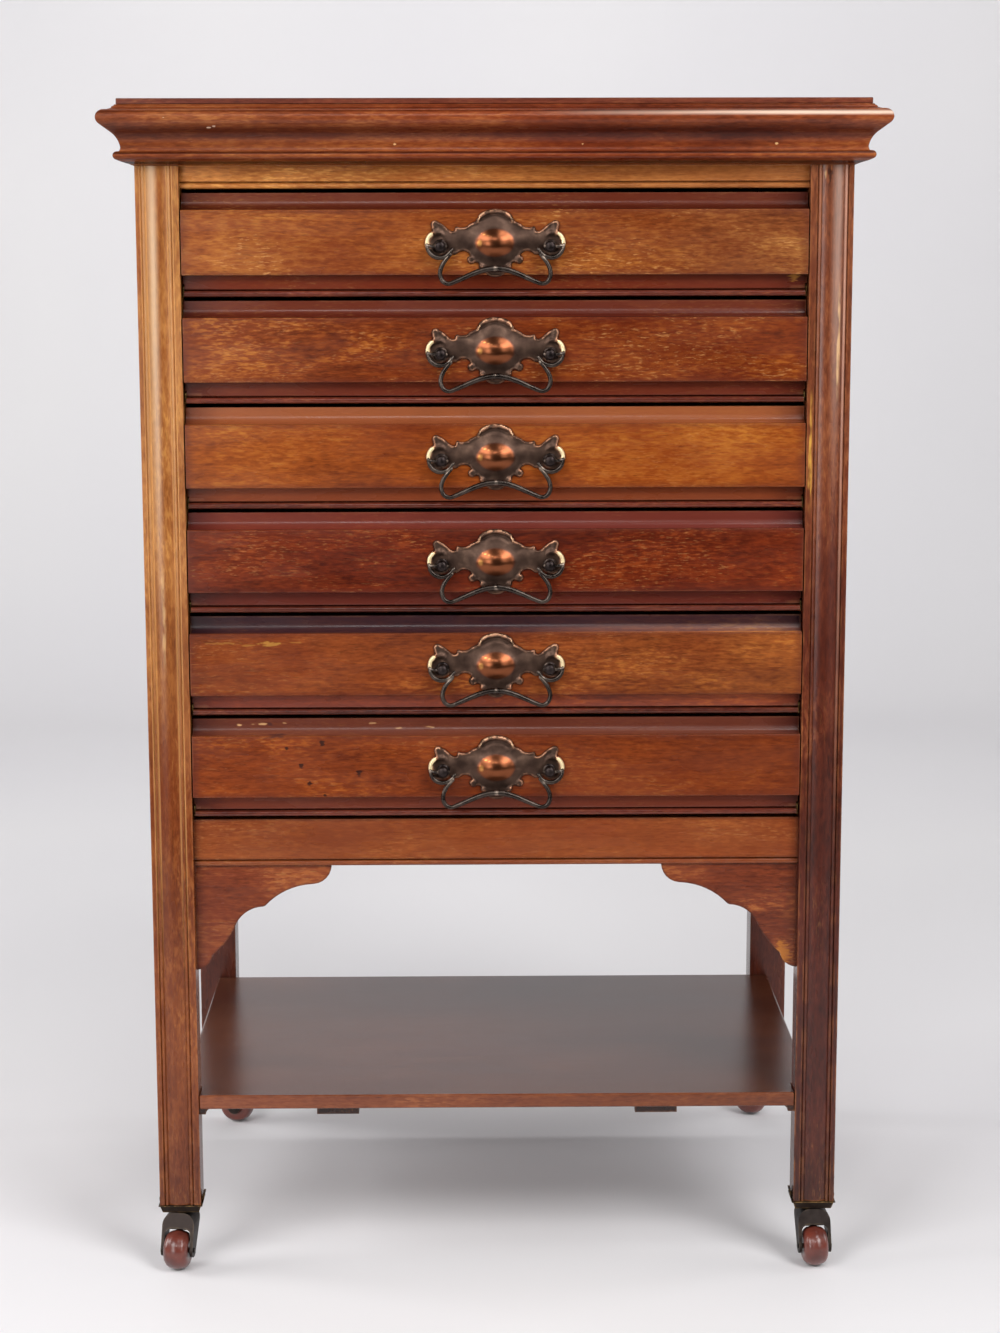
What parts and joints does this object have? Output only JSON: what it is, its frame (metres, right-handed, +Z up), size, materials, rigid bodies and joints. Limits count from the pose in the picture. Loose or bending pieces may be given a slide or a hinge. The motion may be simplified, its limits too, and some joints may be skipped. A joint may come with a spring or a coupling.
{
  "type": "music cabinet",
  "caption": "Upright mahogany music cabinet with a moulded cornice, shallow fall-front drawers with shaped metal pulls, an open bay with shaped brackets, a low shelf and castors.",
  "frame": {"origin": "middle of the floor area under the cabinet, with the wheels standing on z = 0", "axes": "+Z up, the drawers open towards -Y, +X to the right as seen from the front"},
  "size_m": [0.579, 0.3922, 0.901],
  "materials": {
    "show_wood": "french polished mahogany",
    "dark_wood": "polished mahogany",
    "inner_wood": "bare wood",
    "copper_plate": "patinated copper finish",
    "bronze_bail": "dark bronze finish",
    "hinge_brass": "dull brass",
    "castor_metal": "dark worn brass",
    "wheel_glaze": "glossy brown glaze"
  },
  "bodies": {
    "case": {"top_board": "show_wood", "cornice_moulding": "show_wood", "leg_front_left": "show_wood", "leg_front_right": "show_wood", "leg_back_left": "show_wood", "leg_back_right": "show_wood", "frieze_rail": "show_wood", "lower_rail": "show_wood", "brackets": "show_wood", "side_panels": "show_wood", "back_panel": "dark_wood", "bottom_board": "dark_wood", "drawer_runners": "inner_wood", "shelf": "show_wood", "shelf_battens": "dark_wood", "castor_sockets": "castor_metal"},
    "drawer_1": {"drawer_box_1": "inner_wood", "nosing_1": "dark_wood", "hinge_pins_1": "hinge_brass"},
    "fall_1": {"fall_front_1": "show_wood", "handle_plate_1": "copper_plate"},
    "grip_1": {"bail_1": "bronze_bail"},
    "drawer_2": {"drawer_box_2": "inner_wood", "nosing_2": "dark_wood", "hinge_pins_2": "hinge_brass"},
    "fall_2": {"fall_front_2": "show_wood", "handle_plate_2": "copper_plate"},
    "grip_2": {"bail_2": "bronze_bail"},
    "drawer_3": {"drawer_box_3": "inner_wood", "nosing_3": "dark_wood", "hinge_pins_3": "hinge_brass"},
    "fall_3": {"fall_front_3": "show_wood", "handle_plate_3": "copper_plate"},
    "grip_3": {"bail_3": "bronze_bail"},
    "drawer_4": {"drawer_box_4": "inner_wood", "nosing_4": "dark_wood", "hinge_pins_4": "hinge_brass"},
    "fall_4": {"fall_front_4": "show_wood", "handle_plate_4": "copper_plate"},
    "grip_4": {"bail_4": "bronze_bail"},
    "drawer_5": {"drawer_box_5": "inner_wood", "nosing_5": "dark_wood", "hinge_pins_5": "hinge_brass"},
    "fall_5": {"fall_front_5": "show_wood", "handle_plate_5": "copper_plate"},
    "grip_5": {"bail_5": "bronze_bail"},
    "drawer_6": {"drawer_box_6": "inner_wood", "nosing_6": "dark_wood", "hinge_pins_6": "hinge_brass"},
    "fall_6": {"fall_front_6": "show_wood", "handle_plate_6": "copper_plate"},
    "grip_6": {"bail_6": "bronze_bail"},
    "castor_front_left": {"castor_horn_1": "castor_metal"},
    "roller_front_left": {"wheel_1": "wheel_glaze"},
    "castor_front_right": {"castor_horn_2": "castor_metal"},
    "roller_front_right": {"wheel_2": "wheel_glaze"},
    "castor_back_left": {"castor_horn_3": "castor_metal"},
    "roller_back_left": {"wheel_3": "wheel_glaze"},
    "castor_back_right": {"castor_horn_4": "castor_metal"},
    "roller_back_right": {"wheel_4": "wheel_glaze"}
  },
  "joints": [
    {"name": "drawer_1_slide", "type": "slide", "parent": "case", "child": "drawer_1", "axis": [0, -1, 0], "range_m": [0, 0.25]},
    {"name": "fall_1_hinge", "type": "hinge", "parent": "drawer_1", "child": "fall_1", "pos_m": [0, -0.15905, 0.7637], "axis": [1, 0, 0], "range_deg": [0, 85]},
    {"name": "grip_1_hinge", "type": "hinge", "parent": "fall_1", "child": "grip_1", "pos_m": [0, -0.17575, 0.79415], "axis": [-1, 0, 0], "range_deg": [0, 85]},
    {"name": "drawer_2_slide", "type": "slide", "parent": "case", "child": "drawer_2", "axis": [0, -1, 0], "range_m": [0, 0.25]},
    {"name": "fall_2_hinge", "type": "hinge", "parent": "drawer_2", "child": "fall_2", "pos_m": [0, -0.15905, 0.6847], "axis": [1, 0, 0], "range_deg": [0, 85]},
    {"name": "grip_2_hinge", "type": "hinge", "parent": "fall_2", "child": "grip_2", "pos_m": [0, -0.17575, 0.71515], "axis": [-1, 0, 0], "range_deg": [0, 85]},
    {"name": "drawer_3_slide", "type": "slide", "parent": "case", "child": "drawer_3", "axis": [0, -1, 0], "range_m": [0, 0.25]},
    {"name": "fall_3_hinge", "type": "hinge", "parent": "drawer_3", "child": "fall_3", "pos_m": [0, -0.15905, 0.6057], "axis": [1, 0, 0], "range_deg": [0, 85]},
    {"name": "grip_3_hinge", "type": "hinge", "parent": "fall_3", "child": "grip_3", "pos_m": [0, -0.17575, 0.63615], "axis": [-1, 0, 0], "range_deg": [0, 85]},
    {"name": "drawer_4_slide", "type": "slide", "parent": "case", "child": "drawer_4", "axis": [0, -1, 0], "range_m": [0, 0.25]},
    {"name": "fall_4_hinge", "type": "hinge", "parent": "drawer_4", "child": "fall_4", "pos_m": [0, -0.15905, 0.5267], "axis": [1, 0, 0], "range_deg": [0, 85]},
    {"name": "grip_4_hinge", "type": "hinge", "parent": "fall_4", "child": "grip_4", "pos_m": [0, -0.17575, 0.55715], "axis": [-1, 0, 0], "range_deg": [0, 85]},
    {"name": "drawer_5_slide", "type": "slide", "parent": "case", "child": "drawer_5", "axis": [0, -1, 0], "range_m": [0, 0.25]},
    {"name": "fall_5_hinge", "type": "hinge", "parent": "drawer_5", "child": "fall_5", "pos_m": [0, -0.15905, 0.4477], "axis": [1, 0, 0], "range_deg": [0, 85]},
    {"name": "grip_5_hinge", "type": "hinge", "parent": "fall_5", "child": "grip_5", "pos_m": [0, -0.17575, 0.47815], "axis": [-1, 0, 0], "range_deg": [0, 85]},
    {"name": "drawer_6_slide", "type": "slide", "parent": "case", "child": "drawer_6", "axis": [0, -1, 0], "range_m": [0, 0.25]},
    {"name": "fall_6_hinge", "type": "hinge", "parent": "drawer_6", "child": "fall_6", "pos_m": [0, -0.15905, 0.3687], "axis": [1, 0, 0], "range_deg": [0, 85]},
    {"name": "grip_6_hinge", "type": "hinge", "parent": "fall_6", "child": "grip_6", "pos_m": [0, -0.17575, 0.39915], "axis": [-1, 0, 0], "range_deg": [0, 85]},
    {"name": "castor_front_left_swivel", "type": "hinge", "parent": "case", "child": "castor_front_left", "pos_m": [-0.249, -0.15625, 0.044], "axis": [0, 0, 1], "continuous": true},
    {"name": "roller_front_left_axle", "type": "hinge", "parent": "castor_front_left", "child": "roller_front_left", "pos_m": [-0.25131, -0.17006, 0.0155], "axis": [-0.9863, 0.165, 0], "continuous": true},
    {"name": "castor_front_right_swivel", "type": "hinge", "parent": "case", "child": "castor_front_right", "pos_m": [0.249, -0.15625, 0.044], "axis": [0, 0, 1], "continuous": true},
    {"name": "roller_front_right_axle", "type": "hinge", "parent": "castor_front_right", "child": "roller_front_right", "pos_m": [0.24998, -0.17022, 0.0155], "axis": [-0.9976, -0.0698, 0], "continuous": true},
    {"name": "castor_back_left_swivel", "type": "hinge", "parent": "case", "child": "castor_back_left", "pos_m": [-0.249, 0.17675, 0.044], "axis": [0, 0, 1], "continuous": true},
    {"name": "roller_back_left_axle", "type": "hinge", "parent": "castor_back_left", "child": "roller_back_left", "pos_m": [-0.23521, 0.17432, 0.0155], "axis": [-0.1736, -0.9848, 0], "continuous": true},
    {"name": "castor_back_right_swivel", "type": "hinge", "parent": "case", "child": "castor_back_right", "pos_m": [0.249, 0.17675, 0.044], "axis": [0, 0, 1], "continuous": true},
    {"name": "roller_back_right_axle", "type": "hinge", "parent": "castor_back_right", "child": "roller_back_right", "pos_m": [0.23827, 0.18575, 0.0155], "axis": [0.6428, 0.766, 0], "continuous": true}
  ]
}
